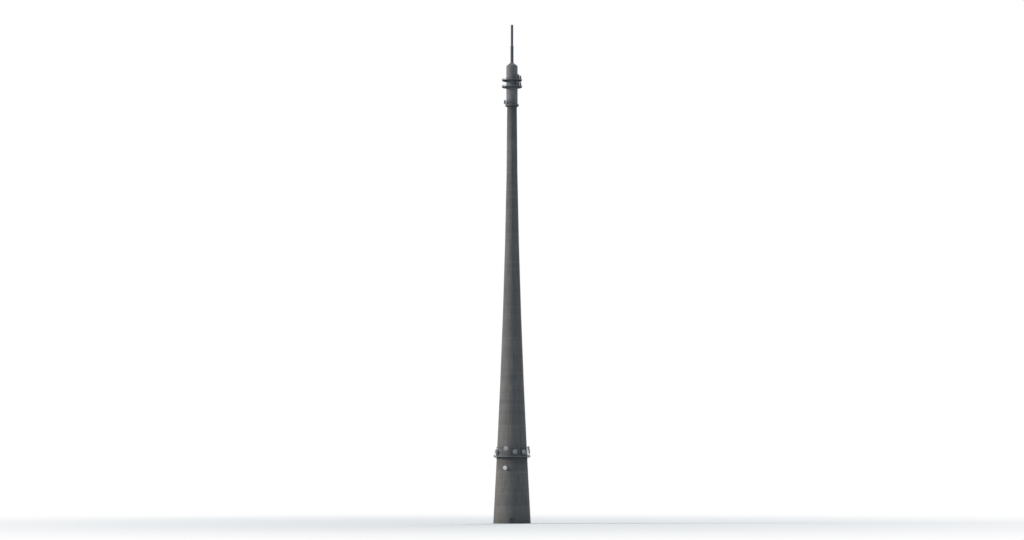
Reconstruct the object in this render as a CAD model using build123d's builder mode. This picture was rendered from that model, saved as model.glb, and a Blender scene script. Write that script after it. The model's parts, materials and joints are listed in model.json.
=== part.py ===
from build123d import *
from math import atan2, cos, degrees, pi, radians, sin, tan
import os

# Concrete radio mast, a scale model at 1:10, in millimetres.
# A hollow concrete shaft flares to its foot. It carries a walkway low down, three walkways
# round a clad head, shrouded dish aerials, and a two-stage aerial with a lightning rod.
# The origin is the middle of the foot at ground level, +Z is up, and the entrance faces -Y.

# Fits
seat_gap = 0.3

# Concrete shaft, cast in flat-sided shutters. Its lifts are straight, and their joints lie on a
# curve whose radius falls with a power of the height left.
shaft_height = 27430
foot_radius = 1220
top_radius = 320
taper_power = 1.7
foot_wall = 53
top_wall = 35
upper_lift_count = 5
shaft_sides = 48

# Entrance at the foot
ground_slab_depth = 30
doorway_width = 300
doorway_height = 340
portal_thickness = 16
portal_setback = 4
door_setback = 22
door_thickness = 10
door_panel_inset = 24
door_panel_recess = 3

# Parts of every walkway
deck_thickness = 8
deck_rim_width = 6
toe_board_height = 14
bracket_edge = 12
bracket_width = 8
rail_thickness = 5
rail_height = 110
post_thickness = 7
post_inset = 5

# Doors from the shaft and the head onto the walkways
side_door_width = 90
side_door_height = 205
side_door_thickness = 6

# Lower walkway
lower_joint_level = 4300
lower_deck_rise = 30
lower_walkway_width = 207
lower_deck_sides = 24
lower_rim_depth = 26
lower_bracket_root = 150
lower_bracket_tip = 26
lower_floor_depth = 30

# Open steel cage on the lower walkway
cage_height = 610
cage_thickness = 14
cage_sides = 12
cage_clearance = 6

# Shrouded dishes of the lower walkway, in two rows, by their bearings from +X
lower_dish_radius = 150
lower_dish_depth = 62
lower_dish_clearance = 14
lower_dish_row = 302
lower_dish_high_row = 520
lower_dish_bearings = (5, 70, 155, 202, 280, 312)
lower_dish_high_bearings = (100, 250, 342)

# White dish on the shaft below the walkway
side_dish_level = 3600
side_dish_bearing = 247.5
side_dish_radius = 135
side_dish_depth = 70
side_dish_standoff = 62
side_arm_spread = 70
side_arm_width = 10
side_plate_size = 30
side_plate_thickness = 5

# Clad head, in flat-sided panels, with three rooms on a cap slab
shell_sides = 36
shell_radius = 370
shell_wall = 20
cap_overhang = 20
cap_thickness = 60
lower_room_height = 1200
middle_room_height = 440
upper_room_height = 920
head_floor_depth = 20
dome_rise = 230
dome_shoulder_rise = 80
dome_shoulder_inset = 40
dome_wall = 14

# Walkway at the top of the shaft
head_deck_sides = 12
head_walkway_width = 65
head_rim_depth = 20
head_bracket_root = 90
head_bracket_tip = 20

# Two wide walkways round the head
wide_walkway_width = 300
wide_rim_depth = 24
wide_bracket_root = 80
wide_bracket_tip = 24

# Dishes at the top of the shaft, by their bearings
head_dish_radius = 110
head_dish_depth = 60
head_dish_row = 250
head_dish_clearance = 30
head_post_clearance = 6
head_dish_bearings = (110, 155, 205, 245, 290)

# Large drums in two rows on the +X side of the head
drum_radius = 155
drum_depth = 80
drum_standoff = 154
drum_rise = 190
drum_bearings = (-50, 0, 50)
drum_post_height = 350

# Shapes shared by the dishes and their mounts
dish_sides = 24
dish_hub_radius = 40
dish_cone_share = 0.4
mount_post_width = 14
mount_arm_length = 26
mount_arm_width = 10
mount_arm_spread = 50

# Aerial
flange_sides = 24
aerial_foot_radius = 130
aerial_foot_thickness = 16
aerial_lower_radius = 100
aerial_lower_height = 1090
aerial_collar_radius = 118
aerial_collar_thickness = 16
aerial_upper_radius = 80
aerial_upper_height = 1420
aerial_cap_height = 30
aerial_cap_edge = 4
aerial_cap_top_radius = 40
rod_radius = 4
rod_sides = 6
rod_length = 170

# Lamps that warn aircraft
lamp_radius = 9
lamp_height = 24
lamp_sides = 6
lamp_bearings = (60, 150, 240, 330)

# Joints between the lifts of the shaft
lift_height = (shaft_height - lower_joint_level) / upper_lift_count
joints = [0] + [lower_joint_level + index * lift_height for index in range(upper_lift_count + 1)]


def flare(z):
    """Radius of the curve that the joints lie on."""
    left = max(0, 1 - z / shaft_height)
    return top_radius + (foot_radius - top_radius) * left**taper_power


def shaft_radius(z):
    """Radius of the wall, which is straight from one joint to the next."""
    for bottom, top in zip(joints, joints[1:]):
        if z <= top:
            share = (z - bottom) / (top - bottom)
            return flare(bottom) * (1 - share) + flare(top) * share
    return top_radius


def shaft_wall(z):
    return foot_wall + (top_wall - foot_wall) * z / shaft_height


def bore_radius(z):
    return shaft_radius(z) - shaft_wall(z)


def shell_face(z):
    return shell_radius


def flats(radius, sides, mode=Mode.ADD):
    """A polygon whose flats are this far from its middle, with one flat towards +X."""
    RegularPolygon(radius, sides, major_radius=False, rotation=180 / sides, mode=mode)


def outward(bearing, reach, level):
    """A place at a radius and a height, turned to look away from the axis."""
    turn = radians(bearing)
    return Location((reach * cos(turn), reach * sin(turn), level), (0, 0, bearing))


# Levels and reaches that follow from the sizes above
lower_deck_level = lower_joint_level + lower_deck_rise
lower_floor_level = lower_deck_level + deck_thickness
lower_hole_radius = shaft_radius(lower_deck_level) / cos(pi / shaft_sides) + seat_gap
lower_deck_reach = shaft_radius(lower_deck_level) + lower_walkway_width
cap_radius = shell_radius + cap_overhang
head_deck_reach = cap_radius + head_walkway_width
wide_deck_reach = shell_radius + wide_walkway_width
drum_back = shell_radius + drum_standoff
cap_top = shaft_height + cap_thickness
head_deck_level = shaft_height
head_floor_level = head_deck_level + deck_thickness
middle_floor_level = cap_top + lower_room_height
upper_floor_level = middle_floor_level + middle_room_height
shell_top = upper_floor_level + upper_room_height
dome_top = shell_top + dome_rise
aerial_base = dome_top + aerial_foot_thickness
collar_level = aerial_base + aerial_lower_height
aerial_upper_base = collar_level + aerial_collar_thickness
aerial_top = aerial_upper_base + aerial_upper_height


def post_reach(deck_reach, sides):
    """Where the posts stand, clear of the rim at its corners."""
    corner_slope = tan(pi / sides)
    return deck_reach - deck_rim_width - post_inset - post_thickness / 2 * (1 + corner_slope)


# A flat-sided body that slopes straight from one radius to the next
def sloped_body(stations, sides):
    with BuildPart() as body:
        for (low, low_radius), (high, high_radius) in zip(stations, stations[1:]):
            with BuildSketch(Plane.XY.offset(low)):
                flats(low_radius, sides)
            extrude(amount=high - low, taper=degrees(atan2(low_radius - high_radius, high - low)))
    return body


# The same with a hollow inside
def hollow_body(outer_stations, inner_stations, sides):
    outside = sloped_body(outer_stations, sides)
    inside = sloped_body(inner_stations, sides)
    with BuildPart() as body:
        add(outside.part)
        add(inside.part, mode=Mode.SUBTRACT)
    return body


# One lift of the shaft
def shaft_lift(bottom, top):
    outer_stations = [(level, shaft_radius(level)) for level in (bottom, top)]
    inner_stations = [(level, bore_radius(level)) for level in (bottom, top)]
    return hollow_body(outer_stations, inner_stations, shaft_sides)


# A flat-sided slab or flange
def plate(level, radius, thickness, sides):
    with BuildPart() as slab:
        with BuildSketch(Plane.XY.offset(level)):
            flats(radius, sides)
        extrude(amount=thickness)
    return slab


# A plain round column
def column(bottom, height, radius):
    with BuildPart() as shaft:
        with BuildSketch(Plane.XY.offset(bottom)):
            Circle(radius)
        extrude(amount=height)
    return shaft


# A walkway floor, with an edge channel that hangs below it and stands up as a toe board
def walkway_deck(level, reach, sides, rim_depth, hole_radius, hole_sides):
    with BuildPart() as deck:
        with BuildSketch(Plane.XY.offset(level)):
            RegularPolygon(reach, sides)
            flats(hole_radius, hole_sides, mode=Mode.SUBTRACT)
        extrude(amount=deck_thickness)
        with BuildSketch(Plane.XY.offset(level - rim_depth)):
            RegularPolygon(reach, sides)
            RegularPolygon(reach - deck_rim_width, sides, mode=Mode.SUBTRACT)
        extrude(amount=rim_depth + deck_thickness + toe_board_height)
    return deck


# Welded open brackets under a walkway, one at each corner, seated on the battered wall
def walkway_brackets(level, deck_reach, sides, root, tip, wall_face):
    reach = deck_reach - deck_rim_width - bracket_width / 2 * tan(pi / sides) - seat_gap
    seat_high = wall_face(level) + seat_gap
    seat_low = wall_face(level - root) + seat_gap
    with BuildPart() as bracket:
        with BuildSketch(Plane.XZ):
            Polygon((seat_high, level), (reach, level), (reach, level - tip), (seat_low, level - root))
            offset(amount=-bracket_edge, kind=Kind.INTERSECTION, mode=Mode.SUBTRACT)
        extrude(amount=bracket_width / 2, both=True)
    with BuildPart() as brackets:
        with PolarLocations(0, sides):
            add(bracket.part)
    return brackets


# A railing with a top rail and a post at each corner
def walkway_railing(floor, deck_reach, sides):
    reach = post_reach(deck_reach, sides)
    with BuildPart() as railing:
        with BuildSketch(Plane.XY.offset(floor + rail_height)):
            RegularPolygon(reach + rail_thickness / 2, sides)
            RegularPolygon(reach - rail_thickness / 2, sides, mode=Mode.SUBTRACT)
        extrude(amount=-rail_thickness)
        with BuildSketch(Plane.XY.offset(floor)):
            with PolarLocations(reach, sides):
                Rectangle(post_thickness, post_thickness)
        extrude(amount=rail_height)
    return railing


# A shrouded dish that looks along +X, with its hub at the origin
def shrouded_dish(radius, depth):
    with BuildPart() as dish:
        with BuildSketch(Plane.YZ):
            flats(radius, dish_sides)
        extrude(amount=depth)
        back = dish.faces().sort_by(Axis.X)[0]
        chamfer(
            back.edges(), length=radius - dish_hub_radius, length2=depth * dish_cone_share, reference=back
        )
    return dish


# An upright post with two arms that reach out to the dish's hub
def dish_mount(height, hub_rise, arm_length):
    with BuildPart() as mount:
        with BuildSketch(Plane.XY):
            Rectangle(mount_post_width, mount_post_width)
        extrude(amount=height)
        with BuildSketch(Plane.YZ):
            with Locations((0, hub_rise - mount_arm_spread / 2), (0, hub_rise + mount_arm_spread / 2)):
                Rectangle(mount_arm_width, mount_arm_width)
        extrude(amount=arm_length)
    return mount


# Copies of one piece at several places, as one part
def copies(piece, places):
    with BuildPart() as group:
        with Locations(*places):
            add(piece.part)
    return group


# A door leaf that closes a gap in the wall on the -X side
def side_door(level, face_radius):
    with BuildPart() as leaf:
        with BuildSketch(Plane.YZ.offset(-face_radius)):
            with Locations((0, level + seat_gap)):
                Rectangle(
                    side_door_width - 2 * seat_gap,
                    side_door_height - 2 * seat_gap,
                    align=(Align.CENTER, Align.MIN),
                )
        extrude(amount=side_door_thickness)
    return leaf


# One room of the head, hollow, with a doorway on the -X side
def head_room(bottom, top):
    with BuildPart() as room:
        with BuildSketch(Plane.XY.offset(bottom)):
            flats(shell_radius, shell_sides)
            flats(shell_radius - shell_wall, shell_sides, mode=Mode.SUBTRACT)
        extrude(amount=top - bottom)
        with BuildSketch(Plane.YZ):
            with Locations((0, bottom)):
                Rectangle(side_door_width, side_door_height, align=(Align.CENTER, Align.MIN))
        extrude(amount=-shell_radius, mode=Mode.SUBTRACT)
    return room


pieces = {}

# Foot of the shaft with its doorway
pieces["ground_floor_slab"] = plate(
    0, bore_radius(ground_slab_depth) - seat_gap, ground_slab_depth, shaft_sides
)
foot_lift = shaft_lift(0, lower_joint_level)
with BuildPart() as shaft_base:
    add(foot_lift.part)
    with BuildSketch(Plane.XZ):
        with Locations((0, ground_slab_depth)):
            Rectangle(doorway_width, doorway_height, align=(Align.CENTER, Align.MIN))
    extrude(amount=foot_radius, mode=Mode.SUBTRACT)
pieces["shaft_base"] = shaft_base

# Portal that lines the doorway; its lintel and jambs stand a little proud of the sloping wall
portal_front = foot_radius - portal_setback
portal_back = bore_radius(ground_slab_depth + doorway_height)
with BuildPart() as entrance_frame:
    with BuildSketch(Plane.XZ.offset(portal_back)):
        with Locations((0, ground_slab_depth)):
            Rectangle(
                doorway_width - 2 * seat_gap,
                doorway_height - seat_gap,
                align=(Align.CENTER, Align.MIN),
            )
            Rectangle(
                doorway_width - 2 * portal_thickness,
                doorway_height - portal_thickness,
                align=(Align.CENTER, Align.MIN),
                mode=Mode.SUBTRACT,
            )
    extrude(amount=portal_front - portal_back)
pieces["entrance_frame"] = entrance_frame

# Two entrance leaves, each with a recessed panel
leaf_width = doorway_width / 2 - portal_thickness - 1.5 * seat_gap
leaf_height = doorway_height - portal_thickness - 2 * seat_gap
door_front = portal_front - door_setback
for side, name in ((-1, "entrance_door_left"), (1, "entrance_door_right")):
    leaf_middle = side * (leaf_width + seat_gap) / 2
    with BuildPart() as door:
        with BuildSketch(Plane.XZ.offset(door_front - door_thickness)):
            with Locations((leaf_middle, ground_slab_depth + seat_gap)):
                Rectangle(leaf_width, leaf_height, align=(Align.CENTER, Align.MIN))
        extrude(amount=door_thickness)
        with BuildSketch(Plane.XZ.offset(door_front)):
            with Locations((leaf_middle, ground_slab_depth + seat_gap + leaf_height / 2)):
                Rectangle(leaf_width - 2 * door_panel_inset, leaf_height - 2 * door_panel_inset)
        extrude(amount=-door_panel_recess, mode=Mode.SUBTRACT)
    pieces[name] = door

# Upper lifts of the shaft, the first with the doorway to the lower walkway
gallery_lift = shaft_lift(lower_joint_level, lower_joint_level + lift_height)
with BuildPart() as shaft_lift_2:
    add(gallery_lift.part)
    with BuildSketch(Plane.YZ):
        with Locations((0, lower_floor_level)):
            Rectangle(side_door_width, side_door_height, align=(Align.CENTER, Align.MIN))
    extrude(amount=-foot_radius, mode=Mode.SUBTRACT)
pieces["shaft_lift_2"] = shaft_lift_2
for index in range(1, upper_lift_count):
    bottom = lower_joint_level + index * lift_height
    pieces[f"shaft_lift_{index + 2}"] = shaft_lift(bottom, bottom + lift_height)

# Lower walkway, with the floor inside its doorway
pieces["lower_gallery_floor"] = plate(
    lower_floor_level - lower_floor_depth,
    bore_radius(lower_floor_level) - seat_gap,
    lower_floor_depth,
    shaft_sides,
)
pieces["lower_gallery_brackets"] = walkway_brackets(
    lower_deck_level,
    lower_deck_reach,
    lower_deck_sides,
    lower_bracket_root,
    lower_bracket_tip,
    shaft_radius,
)
pieces["lower_gallery_deck"] = walkway_deck(
    lower_deck_level,
    lower_deck_reach,
    lower_deck_sides,
    lower_rim_depth,
    lower_hole_radius,
    lower_deck_sides,
)
pieces["lower_gallery_railing"] = walkway_railing(lower_floor_level, lower_deck_reach, lower_deck_sides)
pieces["lower_gallery_door"] = side_door(
    lower_floor_level,
    shaft_radius(lower_floor_level + side_door_height) - shaft_wall(lower_floor_level) / 2,
)

# Dishes of the lower walkway, just inside the railing
lower_rail_flat = post_reach(lower_deck_reach, lower_deck_sides) * cos(pi / lower_deck_sides)
lower_dish_back = lower_rail_flat - lower_dish_clearance - lower_dish_depth
lower_post_reach = lower_dish_back - mount_arm_length
lower_rows = ((lower_dish_row, lower_dish_bearings), (lower_dish_high_row, lower_dish_high_bearings))
lower_dish_places = []
lower_mount_parts = []
for row, bearings in lower_rows:
    mount = dish_mount(row + lower_dish_radius, row, mount_arm_length)
    for bearing in bearings:
        lower_dish_places.append(outward(bearing, lower_dish_back, lower_floor_level + row))
        lower_mount_parts.append(mount.part.moved(outward(bearing, lower_post_reach, lower_floor_level)))
lower_dish = shrouded_dish(lower_dish_radius, lower_dish_depth)
pieces["lower_gallery_dishes"] = copies(lower_dish, lower_dish_places)
with BuildPart() as lower_gallery_dish_mounts:
    add(lower_mount_parts)
pieces["lower_gallery_dish_mounts"] = lower_gallery_dish_mounts

# Open cage of posts, a top ring and ties back to the shaft, turned so that no post is before the door
cage_reach = lower_post_reach - mount_post_width / 2 - cage_clearance
cage_top = lower_floor_level + cage_height
cage_turn = 180 / cage_sides
tie_start = shaft_radius(cage_top - cage_thickness) + seat_gap
tie_end = cage_reach - cage_thickness / 2
with BuildPart() as lower_gallery_cage:
    with BuildSketch(Plane.XY.offset(lower_floor_level)):
        with PolarLocations(cage_reach - cage_thickness / 2, cage_sides, start_angle=cage_turn):
            Rectangle(cage_thickness, cage_thickness)
    extrude(amount=cage_height)
    with BuildSketch(Plane.XY.offset(cage_top)):
        RegularPolygon(cage_reach, cage_sides, rotation=cage_turn)
        RegularPolygon(cage_reach - cage_thickness, cage_sides, rotation=cage_turn, mode=Mode.SUBTRACT)
        with PolarLocations((tie_start + tie_end) / 2, cage_sides, start_angle=cage_turn):
            Rectangle(tie_end - tie_start, cage_thickness)
    extrude(amount=-cage_thickness)
pieces["lower_gallery_cage"] = lower_gallery_cage

# White dish on the shaft
side_wall_face = shaft_radius(side_dish_level - side_arm_spread) + seat_gap
side_post_reach = side_wall_face + side_dish_standoff
side_hub_reach = side_post_reach + mount_arm_length
side_body = shrouded_dish(side_dish_radius, side_dish_depth)
pieces["side_dish"] = copies(side_body, [outward(side_dish_bearing, side_hub_reach, side_dish_level)])

# Its bracket, with two wall plates, two arms, a post and a head plate
with BuildPart() as side_bracket:
    for step in (-side_arm_spread, side_arm_spread):
        arm_level = side_dish_level + step
        plate_face = shaft_radius(arm_level - side_plate_size / 2) + seat_gap
        with BuildSketch(Plane.YZ.offset(plate_face)):
            with Locations((0, arm_level)):
                Rectangle(side_plate_size, side_plate_size)
        extrude(amount=side_plate_thickness)
        with BuildSketch(Plane.YZ.offset(plate_face)):
            with Locations((0, arm_level)):
                Rectangle(side_arm_width, side_arm_width)
        extrude(amount=side_post_reach - plate_face)
    with BuildSketch(Plane.XY.offset(side_dish_level - side_arm_spread - side_arm_width)):
        with Locations((side_post_reach, 0)):
            Rectangle(mount_post_width, mount_post_width)
    extrude(amount=2 * (side_arm_spread + side_arm_width))
    with BuildSketch(Plane.YZ.offset(side_post_reach)):
        with Locations((0, side_dish_level)):
            Rectangle(mount_arm_width, mount_arm_spread)
    extrude(amount=mount_arm_length)
pieces["side_dish_bracket"] = copies(side_bracket, [Rotation(0, 0, side_dish_bearing)])

# Cap slab and rooms of the head
pieces["shaft_cap"] = plate(shaft_height, cap_radius, cap_thickness, shell_sides)
pieces["head_shell_lower"] = head_room(cap_top, middle_floor_level)
pieces["head_shell_middle"] = head_room(middle_floor_level, upper_floor_level)
pieces["head_shell_upper"] = head_room(upper_floor_level, shell_top)
head_floor = plate(-head_floor_depth, shell_radius - shell_wall - seat_gap, head_floor_depth, shell_sides)
pieces["head_floors"] = copies(
    head_floor, [Location((0, 0, level)) for level in (middle_floor_level, upper_floor_level)]
)
leaf_face = shell_radius - (shell_wall - side_door_thickness) / 2
head_leaf = side_door(0, leaf_face)
pieces["head_doors"] = copies(
    head_leaf, [Location((0, 0, level)) for level in (cap_top, middle_floor_level, upper_floor_level)]
)

# Walkway at the top of the shaft
pieces["head_gallery_brackets"] = walkway_brackets(
    head_deck_level, head_deck_reach, head_deck_sides, head_bracket_root, head_bracket_tip, shaft_radius
)
pieces["head_gallery_deck"] = walkway_deck(
    head_deck_level, head_deck_reach, head_deck_sides, head_rim_depth, cap_radius + seat_gap, shell_sides
)
pieces["head_gallery_railing"] = walkway_railing(head_floor_level, head_deck_reach, head_deck_sides)

# Dishes at the top of the shaft, held out over the railing
head_rail_flat = (post_reach(head_deck_reach, head_deck_sides) - rail_thickness / 2) * cos(pi / head_deck_sides)
head_post_reach = head_rail_flat - head_post_clearance - mount_post_width / 2
head_dish_back = head_deck_reach + head_dish_clearance
head_dish = shrouded_dish(head_dish_radius, head_dish_depth)
head_mount = dish_mount(head_dish_row + head_dish_radius, head_dish_row, head_dish_back - head_post_reach)
head_dish_level = head_floor_level + head_dish_row
pieces["head_gallery_dishes"] = copies(
    head_dish, [outward(bearing, head_dish_back, head_dish_level) for bearing in head_dish_bearings]
)
pieces["head_gallery_dish_mounts"] = copies(
    head_mount, [outward(bearing, head_post_reach, head_floor_level) for bearing in head_dish_bearings]
)

# Two wide walkways round the head
for name, floor in (("middle_gallery", middle_floor_level), ("upper_gallery", upper_floor_level)):
    deck_level = floor - deck_thickness
    pieces[f"{name}_brackets"] = walkway_brackets(
        deck_level, wide_deck_reach, head_deck_sides, wide_bracket_root, wide_bracket_tip, shell_face
    )
    pieces[f"{name}_deck"] = walkway_deck(
        deck_level, wide_deck_reach, head_deck_sides, wide_rim_depth, shell_radius + seat_gap, shell_sides
    )
    pieces[f"{name}_railing"] = walkway_railing(floor, wide_deck_reach, head_deck_sides)

# Large drums in two rows
drum_post_reach = drum_back - mount_arm_length
drum_body = shrouded_dish(drum_radius, drum_depth)
drum_mount = dish_mount(drum_post_height, drum_rise, mount_arm_length)
drum_floors = (middle_floor_level, upper_floor_level)
pieces["large_drums"] = copies(
    drum_body,
    [outward(bearing, drum_back, floor + drum_rise) for floor in drum_floors for bearing in drum_bearings],
)
pieces["large_drum_mounts"] = copies(
    drum_mount,
    [outward(bearing, drum_post_reach, floor) for floor in drum_floors for bearing in drum_bearings],
)

# Domed roof of the head, hollow, in two slopes
dome_outer = (
    (shell_top, shell_radius),
    (shell_top + dome_shoulder_rise, shell_radius - dome_shoulder_inset),
    (dome_top, aerial_foot_radius),
)
dome_inner = (
    (shell_top, shell_radius - dome_wall),
    (shell_top + dome_shoulder_rise - dome_wall / 2, shell_radius - dome_shoulder_inset - dome_wall),
    (dome_top - dome_wall, aerial_foot_radius - dome_wall),
)
pieces["head_dome"] = hollow_body(dome_outer, dome_inner, shell_sides)

# Aerial in two stages, with its foot, collar, cap and lightning rod
pieces["aerial_foot"] = plate(dome_top, aerial_foot_radius, aerial_foot_thickness, flange_sides)
pieces["aerial_lower"] = column(aerial_base, aerial_lower_height, aerial_lower_radius)
pieces["aerial_collar"] = plate(collar_level, aerial_collar_radius, aerial_collar_thickness, flange_sides)
pieces["aerial_upper"] = column(aerial_upper_base, aerial_upper_height, aerial_upper_radius)
with BuildPart() as aerial_cap:
    with BuildSketch(Plane.XY.offset(aerial_top)):
        flats(aerial_upper_radius, flange_sides)
    extrude(amount=aerial_cap_height)
    cap_face = aerial_cap.faces().sort_by(Axis.Z)[-1]
    chamfer(
        cap_face.edges(),
        length=aerial_upper_radius - aerial_cap_top_radius,
        length2=aerial_cap_height - aerial_cap_edge,
        reference=cap_face,
    )
    with BuildSketch(Plane.XY.offset(aerial_top + aerial_cap_height)):
        RegularPolygon(rod_radius, rod_sides)
    extrude(amount=rod_length)
pieces["aerial_cap"] = aerial_cap

# Warning lamps on the railing posts
lamp_body = plate(0, lamp_radius, lamp_height, lamp_sides)
lamp_rings = (
    (lower_floor_level, post_reach(lower_deck_reach, lower_deck_sides)),
    (upper_floor_level, post_reach(wide_deck_reach, head_deck_sides)),
)
pieces["warning_lamps"] = copies(
    lamp_body,
    [outward(bearing, reach, floor + rail_height) for floor, reach in lamp_rings for bearing in lamp_bearings],
)

os.makedirs("parts", exist_ok=True)
for name, piece in pieces.items():
    piece.part.label = name
    export_step(piece.part, f"parts/{name}.step")
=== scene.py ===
"""A concrete radio mast at 1:10, dressed for rendering. Sizes are in metres."""

import json
import math

import bmesh
import bpy
from mathutils import Matrix, Vector


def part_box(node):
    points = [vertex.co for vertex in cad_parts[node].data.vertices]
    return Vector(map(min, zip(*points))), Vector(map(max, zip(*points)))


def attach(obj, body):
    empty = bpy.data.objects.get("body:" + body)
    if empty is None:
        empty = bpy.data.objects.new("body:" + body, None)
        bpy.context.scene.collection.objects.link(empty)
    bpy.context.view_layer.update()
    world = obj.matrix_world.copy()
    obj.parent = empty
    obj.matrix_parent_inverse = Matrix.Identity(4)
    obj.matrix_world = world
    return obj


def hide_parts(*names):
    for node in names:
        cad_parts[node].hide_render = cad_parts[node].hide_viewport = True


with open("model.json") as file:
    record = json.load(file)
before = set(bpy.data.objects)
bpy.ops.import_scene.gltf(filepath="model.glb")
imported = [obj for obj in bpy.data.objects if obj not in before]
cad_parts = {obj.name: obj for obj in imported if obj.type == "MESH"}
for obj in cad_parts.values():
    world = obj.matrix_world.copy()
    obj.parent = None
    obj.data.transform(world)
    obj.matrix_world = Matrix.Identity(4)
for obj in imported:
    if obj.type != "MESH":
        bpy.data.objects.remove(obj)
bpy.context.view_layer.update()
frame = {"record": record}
slots = {subpart["node"]: subpart["material_slot"] for subpart in frame["record"]["subparts"]}

# Concrete
LIFT_STEP = 0.2286
LIFTS_IN_POUR = 5
SHAFT_SIDES = 48
SHAFT_NODES = ("shaft_base", "shaft_lift_2", "shaft_lift_3", "shaft_lift_4", "shaft_lift_5", "shaft_lift_6")
SHAFT_TOP_RADIUS = 0.320
SEAM_DEPTH = 0.0025
SEAM_HEIGHT = 0.006
TIE_HOLE_RADIUS = 0.003
STAIN_LENGTHS = {"lower_gallery_deck": 1.3, "shaft_cap": 2.2}
GRIME_HEIGHT = 0.9

# Head
HEAD_SHELLS = ("head_shell_lower", "head_shell_middle", "head_shell_upper")
SHELL_SIDES = 36
SHELL_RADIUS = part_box("head_shell_middle")[1][0]
PANEL_FLATS = 2
PANELS = SHELL_SIDES // PANEL_FLATS
HOOP_STEP = 0.150
HOOP_MARGIN = 0.02
HOOP_DEPTH = 0.003
HOOP_HEIGHT = 0.008
STRIP_WIDTH = 0.008
STRIP_DEPTH = 0.0035
STRIP_TOP_GAP = 0.090

# Doors
ENTRANCE_BEARING = 270
SIDE_DOOR_BEARING = 180
SIDE_DOOR_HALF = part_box("lower_gallery_door")[1][1]
DOOR_TRIM = 0.010

# Walkways
RAIL_SIZE = 0.005
POST_SIZE = 0.007
MIDDLE_RAIL_SHARE = 0.55
BALUSTER_STEP = 0.015
BALUSTER_SIZE = 0.0016
TOE_HEIGHT = 0.014
DECK_RIM = 0.006
DECK_THICKNESS = 0.008
SEAT_PLATE_WIDTH = 0.026
SEAT_PLATE_DEPTH = 0.003
BOLT_RADIUS = 0.0032
BOLT_LENGTH = 0.004

# Open cage on the lower walkway
CAGE_SIDES = 12
CAGE_POST_SIZE = 0.014

# Dishes and their mounts; the bowl is shares of a cone's depth and of its swelling
MOUNT_POST_SIZE = 0.014
RIM_SIZE = 0.005
RADOME_RISE = 0.008
DISH_CONE_SHARE = 0.4
DISH_HUB_RADIUS = 0.040
DISH_BOWL = ((0.10, 0.16), (0.35, 0.48), (0.70, 0.82))

# Aerial: the number of lengths of each tube, and the flanges between them
AERIAL_LENGTHS = {"aerial_lower": 5, "aerial_upper": 6}
BAND_DEPTH = 0.004
BAND_HEIGHT = 0.010

# Floor: the tone that it throws back onto the mast
FLOOR_BOUNCE = (0.44, 0.46, 0.49)

# Lamps: bearings and rises in degrees, seen from the camera
LAMPS = {
    "key": {"energy": 2.7, "softness": 10, "bearing": 86, "rise": 26, "colour": (1.0, 0.96, 0.91)},
    "back": {"energy": 1.2, "softness": 40, "bearing": -150, "rise": 36, "colour": (0.92, 0.96, 1.0)},
}

# Meshes
SEGMENTS = 48
ROD_SEGMENTS = 8
THIN_ROD_SEGMENTS = 6
SHARP_ANGLE = 32
SAME_POINT = 1e-6
CORNERS = ((-1, -1), (1, -1), (1, 1), (-1, 1))

# Turns a place until its X axis points up
UPRIGHT = Matrix.Rotation(-math.pi / 2, 4, "Y")


class Shape:
    """Collects closed solids that become one object."""

    def __init__(self):
        self.points = []
        self.faces = []

    def add(self, points, faces):
        start = len(self.points)
        self.points.extend(tuple(point) for point in points)
        self.faces.extend(tuple(start + index for index in face) for face in faces)


def at(x, y, z):
    """A place that is square to the axes."""
    return Matrix.Translation((x, y, z))


def outward(bearing, reach, level):
    """A place at a radius and a height whose X axis looks away from the mast."""
    turn = math.radians(bearing)
    return at(reach * math.cos(turn), reach * math.sin(turn), level) @ Matrix.Rotation(turn, 4, "Z")


def bearings(count, shift=0.0):
    """Even bearings all round, moved on by a share of their step."""
    return [360 * (index + shift) / count for index in range(count)]


def corner_radius(flat_radius, sides):
    """Radius of the corners of a flat-sided wall, from the radius of its flats."""
    return flat_radius / math.cos(math.pi / sides)


def add_box(shape, place, size):
    """A box centred on a place."""
    half = Vector(size) / 2
    corners = [
        place @ Vector((x * half.x, y * half.y, z * half.z))
        for x in (-1, 1)
        for y in (-1, 1)
        for z in (-1, 1)
    ]
    shape.add(corners, [(0, 1, 3, 2), (4, 6, 7, 5), (0, 4, 5, 1), (2, 3, 7, 6), (0, 2, 6, 4), (1, 5, 7, 3)])


def along(start, end, up=(0, 0, 1)):
    """A place midway between two points whose X axis runs from one to the other."""
    x_axis = (end - start).normalized()
    y_axis = Vector(up).cross(x_axis)
    if y_axis.length < SAME_POINT:
        y_axis = Vector((0, 1, 0))
    y_axis.normalize()
    turned = Matrix((x_axis, y_axis, x_axis.cross(y_axis))).transposed().to_4x4()
    return Matrix.Translation((start + end) / 2) @ turned


def add_bar(shape, start, end, width, depth, up=(0, 0, 1)):
    """A square-edged bar between two points."""
    start, end = Vector(start), Vector(end)
    add_box(shape, along(start, end, up), ((end - start).length, width, depth))


def add_turned(shape, place, profile, segments=SEGMENTS):
    """A round solid about a place's X axis, from distances and radii along it."""
    points = []
    for distance, radius in profile:
        for step in range(segments):
            turn = 2 * math.pi * step / segments
            points.append(place @ Vector((distance, radius * math.cos(turn), radius * math.sin(turn))))
    faces = [tuple(reversed(range(segments)))]
    for row in range(len(profile) - 1):
        for step in range(segments):
            after = (step + 1) % segments
            low, high = row * segments, (row + 1) * segments
            faces.append((low + step, low + after, high + after, high + step))
    last = (len(profile) - 1) * segments
    faces.append(tuple(range(last, last + segments)))
    shape.add(points, faces)


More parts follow.
